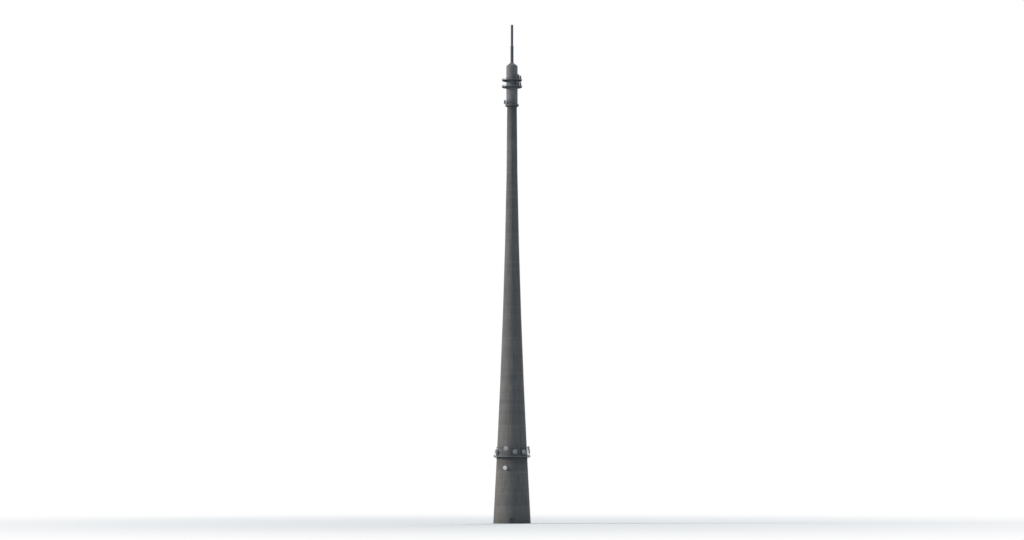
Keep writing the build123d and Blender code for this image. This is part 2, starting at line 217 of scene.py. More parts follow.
def add_rod(shape, start, end, radius, segments=ROD_SEGMENTS):
    """A thin round rod between two points."""
    start, end = Vector(start), Vector(end)
    half = (end - start).length / 2
    add_turned(shape, along(start, end), [(-half, radius), (half, radius)], segments)


def add_bolt(shape, place):
    """A hexagon bolt head on a washer that stands out along a place's X axis."""
    washer_half, washer_radius = 0.2 * BOLT_LENGTH, 1.3 * BOLT_RADIUS
    add_turned(shape, place, [(-washer_half, washer_radius), (washer_half, washer_radius)], segments=12)
    add_turned(shape, place, [(0, BOLT_RADIUS), (BOLT_LENGTH, 0.9 * BOLT_RADIUS)], segments=6)


def ring_stations(sides, turn, doorway):
    """The corners of a flat-sided ring of unit radius, cut at the edges of a doorway."""
    step = 360 / sides
    bearing, half = doorway or (turn, 0.0)
    angles = sorted((turn + step * side - bearing) % 360 for side in range(sides))
    if doorway:
        angles = [angle for angle in angles if 90 < angle < 270 or abs(math.sin(math.radians(angle))) > half]
        angles = [angles[0] - step, *angles, angles[-1] + step]
    stations = [outward(angle, 1, 0).translation for angle in angles]
    if doorway:
        for edge, inside, outside in ((half, 0, 1), (-half, -1, -2)):
            near, far = stations[inside], stations[outside]
            stations[inside] = near.lerp(far, (edge - near.y) / (far.y - near.y))
    return [outward(bearing, 0, 0) @ station for station in stations]


def add_ring(shape, level, reaches, sides, turn, width, height, doorway=None):
    """A flat-sided ring, whose reaches are its outer corners' radii below and above.

    A doorway is a bearing and half a width, and the ring stops at its edges.
    """
    below, above = reaches
    if doorway:
        doorway = (doorway[0], doorway[1] / below)
    stations = ring_stations(sides, turn, doorway)
    low, high = level - height / 2, level + height / 2
    section = ((below - width, low), (below, low), (above, high), (above - width, high))
    points = [(station.x * radius, station.y * radius, z) for station in stations for radius, z in section]
    faces = []
    for here in range(len(stations) - (1 if doorway else 0)):
        start, end = 4 * here, 4 * ((here + 1) % len(stations))
        for first in range(4):
            second = (first + 1) % 4
            faces.append((start + second, start + first, end + first, end + second))
    if doorway:
        last = 4 * (len(stations) - 1)
        faces.append((0, 1, 2, 3))
        faces.append((last, last + 3, last + 2, last + 1))
    shape.add(points, faces)


def add_band(shape, level, flats, sides, width, height, doorway=None):
    """A ring close round a wall whose flats face the axes, from the radii of its own flats."""
    reaches = [corner_radius(flat, sides) for flat in flats]
    add_ring(shape, level, reaches, sides, 180 / sides, width, height, doorway)


def add_object(name, data):
    """A new object in the scene."""
    made = bpy.data.objects.new(name, data)
    bpy.context.scene.collection.objects.link(made)
    return made


def make_piece(name, shape, slot="galvanised_steel", smooth=True):
    """One object made of all the solids in a shape, in the material of its slot."""
    mesh = bpy.data.meshes.new(name)
    mesh.from_pydata(shape.points, [], shape.faces)
    mesh.update()
    if smooth:
        mesh.polygons.foreach_set("use_smooth", [True] * len(mesh.polygons))
        mesh.set_sharp_from_angle(angle=math.radians(SHARP_ANGLE))
    mesh.materials.append(materials[slot])
    piece = add_object(name, mesh)
    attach(piece, "root")
    return piece


# Places read from the CAD nodes


def separate_solids(node):
    """The points of each separate solid in a CAD node."""
    joined = bmesh.new()
    joined.from_mesh(bpy.data.objects[node].data)
    bmesh.ops.remove_doubles(joined, verts=joined.verts, dist=SAME_POINT)
    left = set(joined.verts)
    solids = []
    while left:
        group = [left.pop()]
        for vertex in group:
            for edge in vertex.link_edges:
                other = edge.other_vert(vertex)
                if other in left:
                    left.remove(other)
                    group.append(other)
        solids.append([vertex.co.copy() for vertex in group])
    joined.free()
    return solids


def radial_extent(points):
    """Bearing, least and greatest reach along it, and lowest and highest level of some points."""
    middle = sum(points, Vector()) / len(points)
    bearing = math.atan2(middle.y, middle.x)
    direction = Vector((math.cos(bearing), math.sin(bearing), 0))
    reaches = [point.dot(direction) for point in points]
    levels = [point.z for point in points]
    return math.degrees(bearing), min(reaches), max(reaches), min(levels), max(levels)


# Levels and radii of the shaft's wall at its joints
WALL = [(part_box(node)[0][2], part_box(node)[1][0]) for node in SHAFT_NODES]
WALL.append((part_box(SHAFT_NODES[-1])[1][2], SHAFT_TOP_RADIUS))


def wall_radius(level):
    """Radius of the shaft's flats at a level."""
    for (low, low_radius), (high, high_radius) in zip(WALL, WALL[1:]):
        if level <= high:
            share = (level - low) / (high - low)
            return low_radius + share * (high_radius - low_radius)
    return WALL[-1][1]


def shell_radius(_level):
    """Radius of the head's flats, which is the same at each level."""
    return SHELL_RADIUS


def cladding_span(node):
    """Lowest and highest level of the cover strips on one room of the head."""
    low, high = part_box(node)
    bottom = low.z + (TOE_HEIGHT if node != HEAD_SHELLS[0] else 0.0)
    return bottom, high.z - (STRIP_TOP_GAP if node != HEAD_SHELLS[-1] else 0.0)


def hoop_levels(node):
    """Levels of the hoops round one room of the head."""
    bottom, top = cladding_span(node)
    count = max(2, round((top - bottom) / HOOP_STEP))
    shares = [HOOP_MARGIN + (1 - 2 * HOOP_MARGIN) * step / count for step in range(count + 1)]
    return [bottom + (top - bottom) * share for share in shares]


# Materials


def new_material(name):
    """A material, its node tree and shader, and object coordinates, whole and as three numbers."""
    material = bpy.data.materials.new(name)
    material.use_nodes = True
    tree = material.node_tree
    shader = tree.nodes["Principled BSDF"]
    place = tree.nodes.new("ShaderNodeTexCoord").outputs["Object"]
    parts = tree.nodes.new("ShaderNodeSeparateXYZ")
    tree.links.new(place, parts.inputs[0])
    return material, tree, shader, place, tuple(parts.outputs)


def feed(tree, value, socket):
    """Link a socket or set a plain value."""
    if isinstance(value, bpy.types.NodeSocket):
        tree.links.new(value, socket)
    elif value is not None:
        socket.default_value = value


def maths(tree, operation, first, second=None, third=None):
    """The result of one math node."""
    node = tree.nodes.new("ShaderNodeMath")
    node.operation = operation
    for value, socket in zip((first, second, third), node.inputs):
        feed(tree, value, socket)
    return node.outputs[0]


def between(tree, share, low, high):
    """A number from 0 to 1 stretched evenly onto a range."""
    return maths(tree, "MULTIPLY_ADD", share, high - low, low)


def rise(tree, value, none, full, most=1.0):
    """A share that grows smoothly from nought at one number to its most at another."""
    node = tree.nodes.new("ShaderNodeMapRange")
    node.interpolation_type = "SMOOTHSTEP"
    for number, socket in zip((value, none, full, 0.0, most), node.inputs):
        feed(tree, number, socket)
    return node.outputs[0]


def length_of(tree, x, y):
    """Length of a flat vector."""
    squares = [maths(tree, "MULTIPLY", part, part) for part in (x, y)]
    return maths(tree, "SQRT", maths(tree, "ADD", *squares))


def vector_of(tree, x, y, z):
    """A vector from three numbers."""
    node = tree.nodes.new("ShaderNodeCombineXYZ")
    for value, socket in zip((x, y, z), node.inputs):
        feed(tree, value, socket)
    return node.outputs[0]


def grey(tree, value):
    """A number as a grey colour."""
    return vector_of(tree, value, value, value)


def noise(tree, vector, scale, detail=4.0, roughness=0.55):
    """Cloudy noise from 0 to 1."""
    node = tree.nodes.new("ShaderNodeTexNoise")
    feed(tree, vector, node.inputs["Vector"])
    node.inputs["Scale"].default_value = scale
    node.inputs["Detail"].default_value = detail
    node.inputs["Roughness"].default_value = roughness
    return node.outputs[0]


def washed_noise(tree, parts, across, up):
    """Cloudy noise that is drawn out up and down, as rain leaves dirt."""
    scaled = [maths(tree, "MULTIPLY", part, scale) for part, scale in zip(parts, (across, across, up))]
    return noise(tree, vector_of(tree, *scaled), scale=1.0, detail=5.0, roughness=0.6)


def cell_tone(tree, column, row):
    """One random number from 0 to 1 for each cell."""
    node = tree.nodes.new("ShaderNodeTexWhiteNoise")
    feed(tree, vector_of(tree, column, row, 0.0), node.inputs["Vector"])
    return node.outputs["Value"]


def mix(tree, share, first, second, blend="MIX"):
    """Two colours mixed."""
    node = tree.nodes.new("ShaderNodeMix")
    node.data_type = "RGBA"
    node.blend_type = blend
    feed(tree, share, node.inputs[0])
    for value, socket in ((first, node.inputs[6]), (second, node.inputs[7])):
        feed(tree, (*value, 1.0) if isinstance(value, tuple) else value, socket)
    return node.outputs[2]


def tinted(tree, colour, tint, value, none, full, most):
    """A colour under a tint that grows from nought at one number to its most at another."""
    return mix(tree, rise(tree, value, none, full, most), colour, tint)


def set_surface(tree, shader, colour, roughness, relief, depth, strength):
    """Colour, roughness and relief of a shader."""
    feed(tree, colour, shader.inputs["Base Color"])
    feed(tree, roughness, shader.inputs["Roughness"])
    node = tree.nodes.new("ShaderNodeBump")
    node.inputs["Strength"].default_value = strength
    node.inputs["Distance"].default_value = depth
    feed(tree, relief, node.inputs["Height"])
    tree.links.new(node.outputs["Normal"], shader.inputs["Normal"])


def concrete_material():
    """Weathered cast concrete with the tone of each lift and shutter, streaks and stains."""
    dark, pale = (0.160, 0.155, 0.150), (0.222, 0.204, 0.184)
    soot, lime = (0.075, 0.070, 0.064), (0.36, 0.345, 0.32)
    groove, mortar = (0.055, 0.052, 0.050), (0.060, 0.057, 0.053)
    damp, moss = (0.060, 0.055, 0.050), (0.070, 0.075, 0.050)
    material, tree, shader, place, (x, y, z) = new_material("weathered_concrete")
    bearing = maths(tree, "ARCTAN2", y, x)
    lift = maths(tree, "DIVIDE", z, LIFT_STEP)
    pour = maths(tree, "DIVIDE", z, LIFTS_IN_POUR * LIFT_STEP)
    panel = maths(tree, "MULTIPLY_ADD", bearing, SHAFT_SIDES / (2 * math.pi), 0.5)
    lift_index, pour_index, panel_index = (maths(tree, "FLOOR", count) for count in (lift, pour, panel))
    streaks = washed_noise(tree, (x, y, z), across=16.0, up=0.45)
    blotches = noise(tree, place, scale=0.9, detail=5.0, roughness=0.6)
    grain = noise(tree, place, scale=70.0, detail=6.0, roughness=0.7)

    # Tone of each lift, of each pour of several lifts, and of each shutter
    lift_row, pour_row = 7.0, 3.0
    tone = 0.775
    for part, swing in (
        (cell_tone(tree, lift_index, lift_row), 0.13),
        (cell_tone(tree, pour_index, pour_row), 0.10),
        (cell_tone(tree, lift_index, panel_index), 0.07),
        (grain, 0.12),
    ):
        tone = maths(tree, "MULTIPLY_ADD", part, swing, tone)
    colour = mix(tree, 1.0, mix(tree, blotches, dark, pale), grey(tree, tone), "MULTIPLY")

    # Rain streaks, darker where the noise is low
    colour = tinted(tree, colour, soot, streaks, none=0.56, full=0.32, most=0.42)
    colour = tinted(tree, colour, lime, streaks, none=0.62, full=0.80, most=0.30)

    # Joint lines between lifts and between shutters
    for count, line_width, most in ((lift, 0.030, 0.28), (panel, 0.035, 0.22)):
        edge = maths(tree, "PINGPONG", maths(tree, "FRACT", count), 0.5)
        colour = tinted(tree, colour, groove, edge, none=line_width, full=0.0, most=most)

    # Filled tie holes, two across each shutter and two up each lift
    half_panel = maths(tree, "MULTIPLY", length_of(tree, x, y), math.pi / SHAFT_SIDES)
    offsets = []
    for count, size in ((panel, half_panel), (lift, LIFT_STEP / 2)):
        share = maths(tree, "FRACT", maths(tree, "MULTIPLY", count, 2.0))
        offsets.append(maths(tree, "MULTIPLY", maths(tree, "SUBTRACT", share, 0.5), size))
    outside, inside = 1.1 * TIE_HOLE_RADIUS, 0.8 * TIE_HOLE_RADIUS
    colour = tinted(tree, colour, mortar, length_of(tree, *offsets), none=outside, full=inside, most=0.45)

    # Stains that run down from each walkway, and grime at the foot
    for node, length in STAIN_LENGTHS.items():
        below = maths(tree, "SUBTRACT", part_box(node)[0][2], z)
        under = maths(tree, "GREATER_THAN", below, 0.0)
        fade = maths(tree, "MULTIPLY", rise(tree, below, none=length, full=0.0, most=0.75), under)
        colour = mix(tree, maths(tree, "MULTIPLY", fade, streaks), colour, damp)
    grime = maths(tree, "MULTIPLY", rise(tree, z, none=GRIME_HEIGHT, full=0.0, most=0.8), blotches)
    colour = mix(tree, grime, colour, moss)

    shader.inputs["Specular IOR Level"].default_value = 0.2
    relief = maths(tree, "MULTIPLY_ADD", noise(tree, place, scale=240.0, detail=3.0), 0.5, grain)
    set_surface(tree, shader, colour, between(tree, grain, 0.80, 0.96), relief, depth=0.003, strength=0.45)
    return material


def steel_material():
    """Dull galvanising with its crystal pattern and a little rust."""
    dark, pale, rust = (0.088, 0.096, 0.108), (0.172, 0.184, 0.202), (0.115, 0.052, 0.026)
    material, tree, shader, place, _parts = new_material("weathered_galvanising")
    crystals = tree.nodes.new("ShaderNodeTexVoronoi")
    crystals.inputs["Scale"].default_value = 160.0
    tree.links.new(place, crystals.inputs["Vector"])
    crystal_tone = tree.nodes.new("ShaderNodeRGBToBW")
    tree.links.new(crystals.outputs["Color"], crystal_tone.inputs["Color"])
    clouds = noise(tree, place, scale=6.0, detail=5.0)
    colour = mix(tree, clouds, dark, pale)
    colour = mix(tree, 0.25, colour, grey(tree, crystal_tone.outputs["Val"]), "SOFT_LIGHT")
    patches = noise(tree, place, scale=14.0, detail=7.0, roughness=0.65)
    colour = tinted(tree, colour, rust, patches, none=0.60, full=0.74, most=0.65)
    shader.inputs["Metallic"].default_value = 0.45
    roughness, relief = between(tree, clouds, 0.45, 0.70), crystals.outputs["Distance"]
    set_surface(tree, shader, colour, roughness, relief, depth=0.0006, strength=0.25)
    return material


def paint_material():
    """Satin paint with worn patches and bare flecks."""
    dark, pale, bare = (0.030, 0.050, 0.054), (0.060, 0.086, 0.090), (0.16, 0.15, 0.14)
    material, tree, shader, place, _parts = new_material("door_paint")
    wear = noise(tree, place, scale=22.0, detail=6.0, roughness=0.6)
    flakes = noise(tree, place, scale=90.0, roughness=0.7)
    colour = tinted(tree, mix(tree, wear, dark, pale), bare, flakes, none=0.66, full=0.72, most=0.8)
    relief = noise(tree, place, scale=300.0, detail=2.0)
    set_surface(tree, shader, colour, between(tree, wear, 0.35, 0.60), relief, depth=0.0004, strength=0.3)
    return material


def shroud_material(name, pale, dirty, soiling):
    """Moulded plastic that is streaked with dirt where rain runs down it."""
    material, tree, shader, place, parts = new_material(name)
    clouds = noise(tree, place, scale=5.0)
    runs = washed_noise(tree, parts, across=40.0, up=4.0)
    colour = mix(tree, maths(tree, "MULTIPLY", clouds, 0.5), pale, dirty)
    colour = tinted(tree, colour, dirty, runs, none=0.48, full=0.74, most=soiling)
    relief = noise(tree, place, scale=190.0, detail=3.0)
    set_surface(tree, shader, colour, between(tree, runs, 0.42, 0.67), relief, depth=0.0006, strength=0.2)
    return material


def cladding_material():
    """Glass-fibre panels that differ a little in tone, streaked with dirt."""
    cool, warm, dirt = (0.145, 0.148, 0.155), (0.205, 0.203, 0.200), (0.070, 0.068, 0.066)
    material, tree, shader, place, (x, y, z) = new_material("head_cladding")
    bearing = maths(tree, "ARCTAN2", y, x)
    panel = maths(tree, "MULTIPLY_ADD", bearing, PANELS / (2 * math.pi), -0.5 / PANEL_FLATS)
    row = 0.0
    for node in HEAD_SHELLS:
        for level in hoop_levels(node):
            row = maths(tree, "ADD", row, maths(tree, "GREATER_THAN", z, level))
    panel_tone = cell_tone(tree, maths(tree, "FLOOR", panel), row)
    runs = washed_noise(tree, (x, y, z), across=30.0, up=2.0)
    colour = mix(tree, noise(tree, place, scale=3.0), cool, warm)
    colour = mix(tree, 1.0, colour, grey(tree, between(tree, panel_tone, 0.88, 1.12)), "MULTIPLY")
    colour = tinted(tree, colour, dirt, runs, none=0.46, full=0.72, most=0.55)
    relief = noise(tree, place, scale=120.0)
    set_surface(tree, shader, colour, between(tree, runs, 0.5, 0.7), relief, depth=0.001, strength=0.25)
    return material


def aerial_material():
    """Blue-grey glass fibre, darker on the lower stage."""
    lower, upper = (0.056, 0.066, 0.084), (0.062, 0.073, 0.093)
    dirt, bloom = (0.036, 0.039, 0.044), (0.110, 0.118, 0.130)
    material, tree, shader, place, parts = new_material("aerial_cladding")
    runs = washed_noise(tree, parts, across=50.0, up=2.5)
    clouds = noise(tree, place, scale=4.0)
    on_upper = maths(tree, "GREATER_THAN", parts[2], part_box("aerial_collar")[1][2])
    colour = tinted(tree, mix(tree, on_upper, lower, upper), dirt, runs, none=0.45, full=0.75, most=0.5)
    colour = mix(tree, maths(tree, "MULTIPLY", clouds, 0.25), colour, bloom)
    relief = noise(tree, place, scale=150.0, detail=3.0)
    set_surface(tree, shader, colour, between(tree, runs, 0.38, 0.63), relief, depth=0.0006, strength=0.2)
    return material


def lamp_material():
    """Ribbed red glass."""
    rib_step = 0.003
    material, tree, shader, place, parts = new_material("red_lamp_glass")
    ribs = maths(tree, "SINE", maths(tree, "MULTIPLY", parts[2], 2 * math.pi / rib_step))
    colour = mix(tree, noise(tree, place, scale=120.0), (0.42, 0.012, 0.008), (0.66, 0.040, 0.022))
    shader.inputs["Coat Weight"].default_value = 0.6
    shader.inputs["Transmission Weight"].default_value = 0.25
    set_surface(tree, shader, colour, roughness=0.12, relief=ribs, depth=0.0004, strength=0.4)
    return material


materials = {
    "concrete": concrete_material(),
    "galvanised_steel": steel_material(),
    "door_paint": paint_material(),
    "dish_grey": shroud_material("dish_grey", (0.42, 0.44, 0.46), (0.17, 0.17, 0.17), soiling=0.55),
    "dish_dark": shroud_material("dish_dark", (0.110, 0.118, 0.130), (0.060, 0.060, 0.062), soiling=0.45),
    "dish_white": shroud_material("dish_white", (0.80, 0.80, 0.79), (0.42, 0.41, 0.39), soiling=0.40),
    "head_cladding": cladding_material(),
    "aerial_cladding": aerial_material(),
    "lamp_red": lamp_material(),
}


def dress_nodes():
    """Give each CAD node the material of its slot."""
    for node, slot in slots.items():
        mesh = bpy.data.objects[node].data
        mesh.materials.clear()
        mesh.materials.append(materials[slot])


# Concrete shaft


def lift_seams():
    """A raised line round the shaft at each lift, broken at the doorways."""
    seams = Shape()
    top = WALL[-1][0]
    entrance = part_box("entrance_frame")[1]
    door_low, door_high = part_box("lower_gallery_door")
    for index in range(1, int(top / LIFT_STEP) + 1):
        level = index * LIFT_STEP
        if level > top - SEAM_HEIGHT:
            break
        doorway = None
        if level < entrance.z + SEAM_HEIGHT:
            doorway = (ENTRANCE_BEARING, entrance.x)
        elif door_low.z - SEAM_HEIGHT < level < door_high.z + DOOR_TRIM + SEAM_HEIGHT:
            doorway = (SIDE_DOOR_BEARING, SIDE_DOOR_HALF + DOOR_TRIM)
        edges = (level - SEAM_HEIGHT / 2, level + SEAM_HEIGHT / 2)
        flats = [wall_radius(edge) + SEAM_DEPTH for edge in edges]
        add_band(seams, level, flats, SHAFT_SIDES, 3 * SEAM_DEPTH, SEAM_HEIGHT, doorway)
    make_piece("shaft_lift_seams", seams, "concrete", smooth=False)


def add_knuckle(shape, x, y, z, length, radius):
    """The upright barrel of a hinge."""
    add_rod(shape, (x, y, z - length / 2), (x, y, z + length / 2), radius)


def entrance_details():
    """Hinges, handles, louvres and a kick plate on the entrance leaves."""
    hinge_inset, plate_inset, hinge_plate = 0.006, 0.016, (0.018, 0.0018, 0.016)
    knuckle_out, knuckle_length, knuckle_radius = 0.002, 0.022, 0.0028
    handle_inset, handle_share, handle_plate = 0.012, 0.45, (0.007, 0.003, 0.030)
    spindle_length, spindle_radius = 0.009, 0.0018
    lever_out, lever_length, lever_radius = 0.008, 0.014, 0.0017
    kick_level, kick_margin, kick_depth, kick_height = 0.011, 0.007, 0.0016, 0.020
    slat_step, slat_sink, slat_angle, slat_gap = 0.0165, 0.0012, 35, 0.001
    slat_depth, slat_height = 0.0012, 0.010
    recess, below_slats, above_slats, proud, plate_proud = 0.024, 0.012, 0.008, 0.001, 0.0006
    slant = Matrix.Rotation(math.radians(slat_angle), 4, "X")
    fittings, louvres = Shape(), Shape()
    for node, side in (("entrance_door_left", -1), ("entrance_door_right", 1)):
        low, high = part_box(node)
        face, middle = low.y, (low.x + high.x) / 2
        half, height = (high.x - low.x) / 2, high.z - low.z
        for share in (0.12, 0.5, 0.88):
            z = low.z + share * height
            x = middle + side * (half - hinge_inset)
            add_knuckle(fittings, x, face - knuckle_out, z, knuckle_length, knuckle_radius)
            x = middle + side * (half - plate_inset)
            add_box(fittings, at(x, face - plate_proud, z), hinge_plate)
        x, z = middle - side * (half - handle_inset), low.z + handle_share * height
        add_box(fittings, at(x, face - proud, z), handle_plate)
        add_rod(fittings, (x, face, z), (x, face - spindle_length, z), spindle_radius)
        lever_end = (x + side * lever_length, face - lever_out, z)
        add_rod(fittings, (x, face - lever_out, z), lever_end, lever_radius)
        kick_plate = (2 * (half - kick_margin), kick_depth, kick_height)
        add_box(fittings, at(middle, face - plate_proud, low.z + kick_level), kick_plate)
        lowest, highest = low.z + recess + below_slats, high.z - recess - above_slats
        slat = (2 * (half - recess - slat_gap), slat_depth, slat_height)
        for index in range(1 + int((highest - lowest) / slat_step)):
            add_box(louvres, at(middle, face + slat_sink, lowest + index * slat_step) @ slant, slat)
    make_piece("entrance_fittings", fittings)
    make_piece("entrance_louvres", louvres, "door_paint", smooth=False)


def side_door_details():
    """Frames, hinges and handles of the doors onto the walkways, which are on the -X side."""
    trim_out, trim_depth, proud = 0.002, 0.008, 0.001
    hinge_inset, knuckle_length, knuckle_radius = 0.004, 0.016, 0.002
    handle_inset, handle_share, handle_plate = 0.010, 0.48, (0.003, 0.006, 0.022)
    spindle_length, spindle_radius = 0.007, 0.0015
    lever_out, lever_length, lever_radius = 0.0065, 0.012, 0.0014
    trims, fittings = Shape(), Shape()
    low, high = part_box("lower_gallery_door")
    leaves = [(low.x, low.z, high.z, wall_radius)]
    for solid in separate_solids("head_doors"):
        levels = [point.z for point in solid]
        leaves.append((min(point.x for point in solid), min(levels), max(levels), shell_radius))
    outer = SIDE_DOOR_HALF + DOOR_TRIM
    hinge_y, handle_y = SIDE_DOOR_HALF - hinge_inset, handle_inset - SIDE_DOOR_HALF
    for face, bottom, top, radius_at in leaves:
        foot_x, head_x = (-radius_at(level) - trim_out for level in (bottom, top))
        for side in (-1, 1):
            y = side * (outer - DOOR_TRIM / 2)
            add_bar(trims, (foot_x, y, bottom), (head_x, y, top), DOOR_TRIM, trim_depth)
        lintel = top + DOOR_TRIM / 2
        add_bar(trims, (head_x, -outer, lintel), (head_x, outer, lintel), trim_depth, DOOR_TRIM)
        for share in (0.15, 0.5, 0.85):
            z = bottom + share * (top - bottom)
            add_knuckle(fittings, face - proud, hinge_y, z, knuckle_length, knuckle_radius)
        z = bottom + handle_share * (top - bottom)
        add_box(fittings, at(face - proud, handle_y, z), handle_plate)
        add_rod(fittings, (face, handle_y, z), (face - spindle_length, handle_y, z), spindle_radius)
        x = face - lever_out
        add_rod(fittings, (x, handle_y, z), (x, handle_y + lever_length, z), lever_radius)
    make_piece("side_door_trims", trims, "door_paint", smooth=False)
    make_piece("side_door_fittings", fittings)


# Walkways: their number of sides, and the radius of the wall that each is fixed to

WALKWAYS = {
    "lower_gallery": (24, wall_radius),
    "head_gallery": (12, wall_radius),
    "middle_gallery": (12, shell_radius),
    "upper_gallery": (12, shell_radius),
}


def side_points(reach, sides, side, turn=0.0):
    """The two corners of one side of a flat-sided ring."""
    return [outward(turn + 360 * (side + step) / sides, reach, 0).translation for step in (0, 1)]


def railing_infill(name, sides):
    """A middle rail and upright bars between the posts."""
    foot_rail, foot_gap, foot_plate = 0.003, 0.008, (0.016, 0.016, 0.003)
    low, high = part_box(f"{name}_railing")
    reach = high.x - POST_SIZE / 2
    middle = low.z + MIDDLE_RAIL_SHARE * (high.z - low.z)
    bottom, top = low.z + TOE_HEIGHT + foot_gap, high.z - RAIL_SIZE
    infill = Shape()
    for level, size in ((middle, RAIL_SIZE), (bottom, foot_rail)):
        add_ring(infill, level, [reach + size / 2] * 2, sides, 0, size, size)
    for side in range(sides):
        first, last = side_points(reach, sides, side)
        count = int((last - first).length / BALUSTER_STEP)
        turn = Matrix.Rotation(math.radians(360 * (side + 0.5) / sides), 4, "Z")
        for step in range(1, count):
            point = first.lerp(last, step / count)
            place = at(point.x, point.y, (bottom + top) / 2) @ turn
            add_box(infill, place, (BALUSTER_SIZE, BALUSTER_SIZE, top - bottom))
    for bearing in bearings(sides):
        add_box(infill, outward(bearing, reach, low.z + foot_plate[2] / 2), foot_plate)
    make_piece(f"{name}_railing_infill", infill, smooth=False)


def deck_details(name, sides, radius_at):
    """Joists and a ring beam below a deck, plate joints on it, and a nosing on its rim."""
    # Each pair is a width and a height
    joist, joint, joint_margin = (0.004, 0.010), (0.003, 0.0012), 0.012
    beam, ring_joint = (0.004, 0.013), (0.003, 0.0016)
    nosing, sill, proud, lap = (0.010, 0.004), (0.014, 0.004), 0.002, 0.001
    wall_gap, wall_clearance = 0.002, 1.012
    low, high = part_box(f"{name}_deck")
    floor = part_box(f"{name}_railing")[0][2]
    under = floor - DECK_THICKNESS
    reach, rim = high.x - DECK_RIM, high.x + proud
    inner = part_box("shaft_cap")[1][0] if name == "head_gallery" else radius_at(under)
    start, middle = wall_clearance * inner + wall_gap, (inner + reach) / 2
    details = Shape()
    for side in range(sides):
        for share in (0.25, 0.5, 0.75):
            bearing = 360 * (side + share) / sides
            edge = reach * math.cos(math.pi / sides) / math.cos(math.radians(360 * (share - 0.5) / sides))
            for level, end, (width, height) in (
                (under - joist[1] / 2, edge, joist),
                (floor + joint[1] / 2, edge - joint_margin, joint),
            ):
                add_box(details, outward(bearing, (start + end) / 2, level), (end - start, width, height))
    for level, radius, (width, height) in (
        (under - beam[1] / 2, middle, beam),
        (floor + ring_joint[1] / 2, middle, ring_joint),
        (high.z - lap, rim, nosing),
        (low.z + lap, rim, sill),
    ):
        add_ring(details, level, [radius] * 2, sides, 0, width, height)
    make_piece(f"{name}_deck_details", details, smooth=False)


def bracket_details(name, sides, radius_at):
    """Seat plates with bolts behind the brackets."""
    top_gap, bolt_offset = 0.002, 0.33 * SEAT_PLATE_WIDTH
    low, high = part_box(f"{name}_brackets")
    bottom, top = low.z, high.z - top_gap
    plates = Shape()
    for bearing in bearings(sides):
        foot, head = (
            outward(bearing, radius_at(level) + SEAT_PLATE_DEPTH / 2, level).translation
            for level in (bottom, top)
        )
        away = outward(bearing, 1, 0).translation
        add_bar(plates, foot, head, SEAT_PLATE_WIDTH, SEAT_PLATE_DEPTH, up=away)
        for share in (0.1, 0.5, 0.9):
            level = bottom + share * (top - bottom)
            place = outward(bearing, radius_at(level) + SEAT_PLATE_DEPTH, level)
            for side in (-1, 1):
                add_bolt(plates, place @ at(0, side * bolt_offset, 0))
    make_piece(f"{name}_bracket_seats", plates)


def cage_bracing():
    """A middle ring and crossed rods between the posts of the open cage."""
    ring_size, rod_radius, rod_margin = 0.008, 0.0022, 0.010
    foot_plate, joint_plate, joint_drop = (0.034, 0.034, 0.004), (0.018, 0.026, 0.026), 0.014
    low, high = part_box("lower_gallery_cage")
    middle = (low.z + high.z) / 2
    turn = 180 / CAGE_SIDES
    reach = max(vertex.co.xy.length for vertex in bpy.data.objects["lower_gallery_cage"].data.vertices)
    reach -= CAGE_POST_SIZE / 2
    bracing = Shape()
    add_ring(bracing, middle, [reach + ring_size / 2] * 2, CAGE_SIDES, turn, ring_size, ring_size)
    for side in range(CAGE_SIDES):
        bearing = turn + 360 * side / CAGE_SIDES
        first, last = side_points(reach, CAGE_SIDES, side, turn)
        before_door = abs(bearing + turn - SIDE_DOOR_BEARING) < turn
        for bottom, top in ((low.z + rod_margin, middle), (middle, high.z - rod_margin)):
            if before_door and top == middle:
                continue
            for start, end in ((first, last), (last, first)):
                ends = (start.x, start.y, bottom), (end.x, end.y, top)
                add_rod(bracing, *ends, rod_radius, THIN_ROD_SEGMENTS)
        add_box(bracing, outward(bearing, reach, low.z + foot_plate[2] / 2), foot_plate)
        for level in (middle, high.z - joint_drop):
            add_box(bracing, outward(bearing, reach, level), joint_plate)
    make_piece("lower_gallery_cage_bracing", bracing, smooth=False)


# Dishes


def dish_profile(radius, depth):
    """Distances and radii of a shrouded dish, from its hub to its crowned radome."""
    cone_end = DISH_CONE_SHARE * depth
    body = radius - 0.4 * RIM_SIZE
    profile = [(0.0, 0.75 * DISH_HUB_RADIUS), (0.0, DISH_HUB_RADIUS)]
    for share, swell in DISH_BOWL:
        profile.append((share * cone_end, DISH_HUB_RADIUS + swell * (body - DISH_HUB_RADIUS)))
    profile += [
        (cone_end, body),
        (cone_end, radius),
        (cone_end + RIM_SIZE, radius),
        (cone_end + RIM_SIZE, body),
        (depth - 2 * RIM_SIZE, body),
        (depth - 2 * RIM_SIZE, radius),
        (depth, radius),
        (depth, radius - RIM_SIZE),
    ]
    for share in (0.85, 0.65, 0.45, 0.25, 0.1, 0.02):
        profile.append((depth + RADOME_RISE * (1 - share * share), (radius - RIM_SIZE) * share))
    return profile


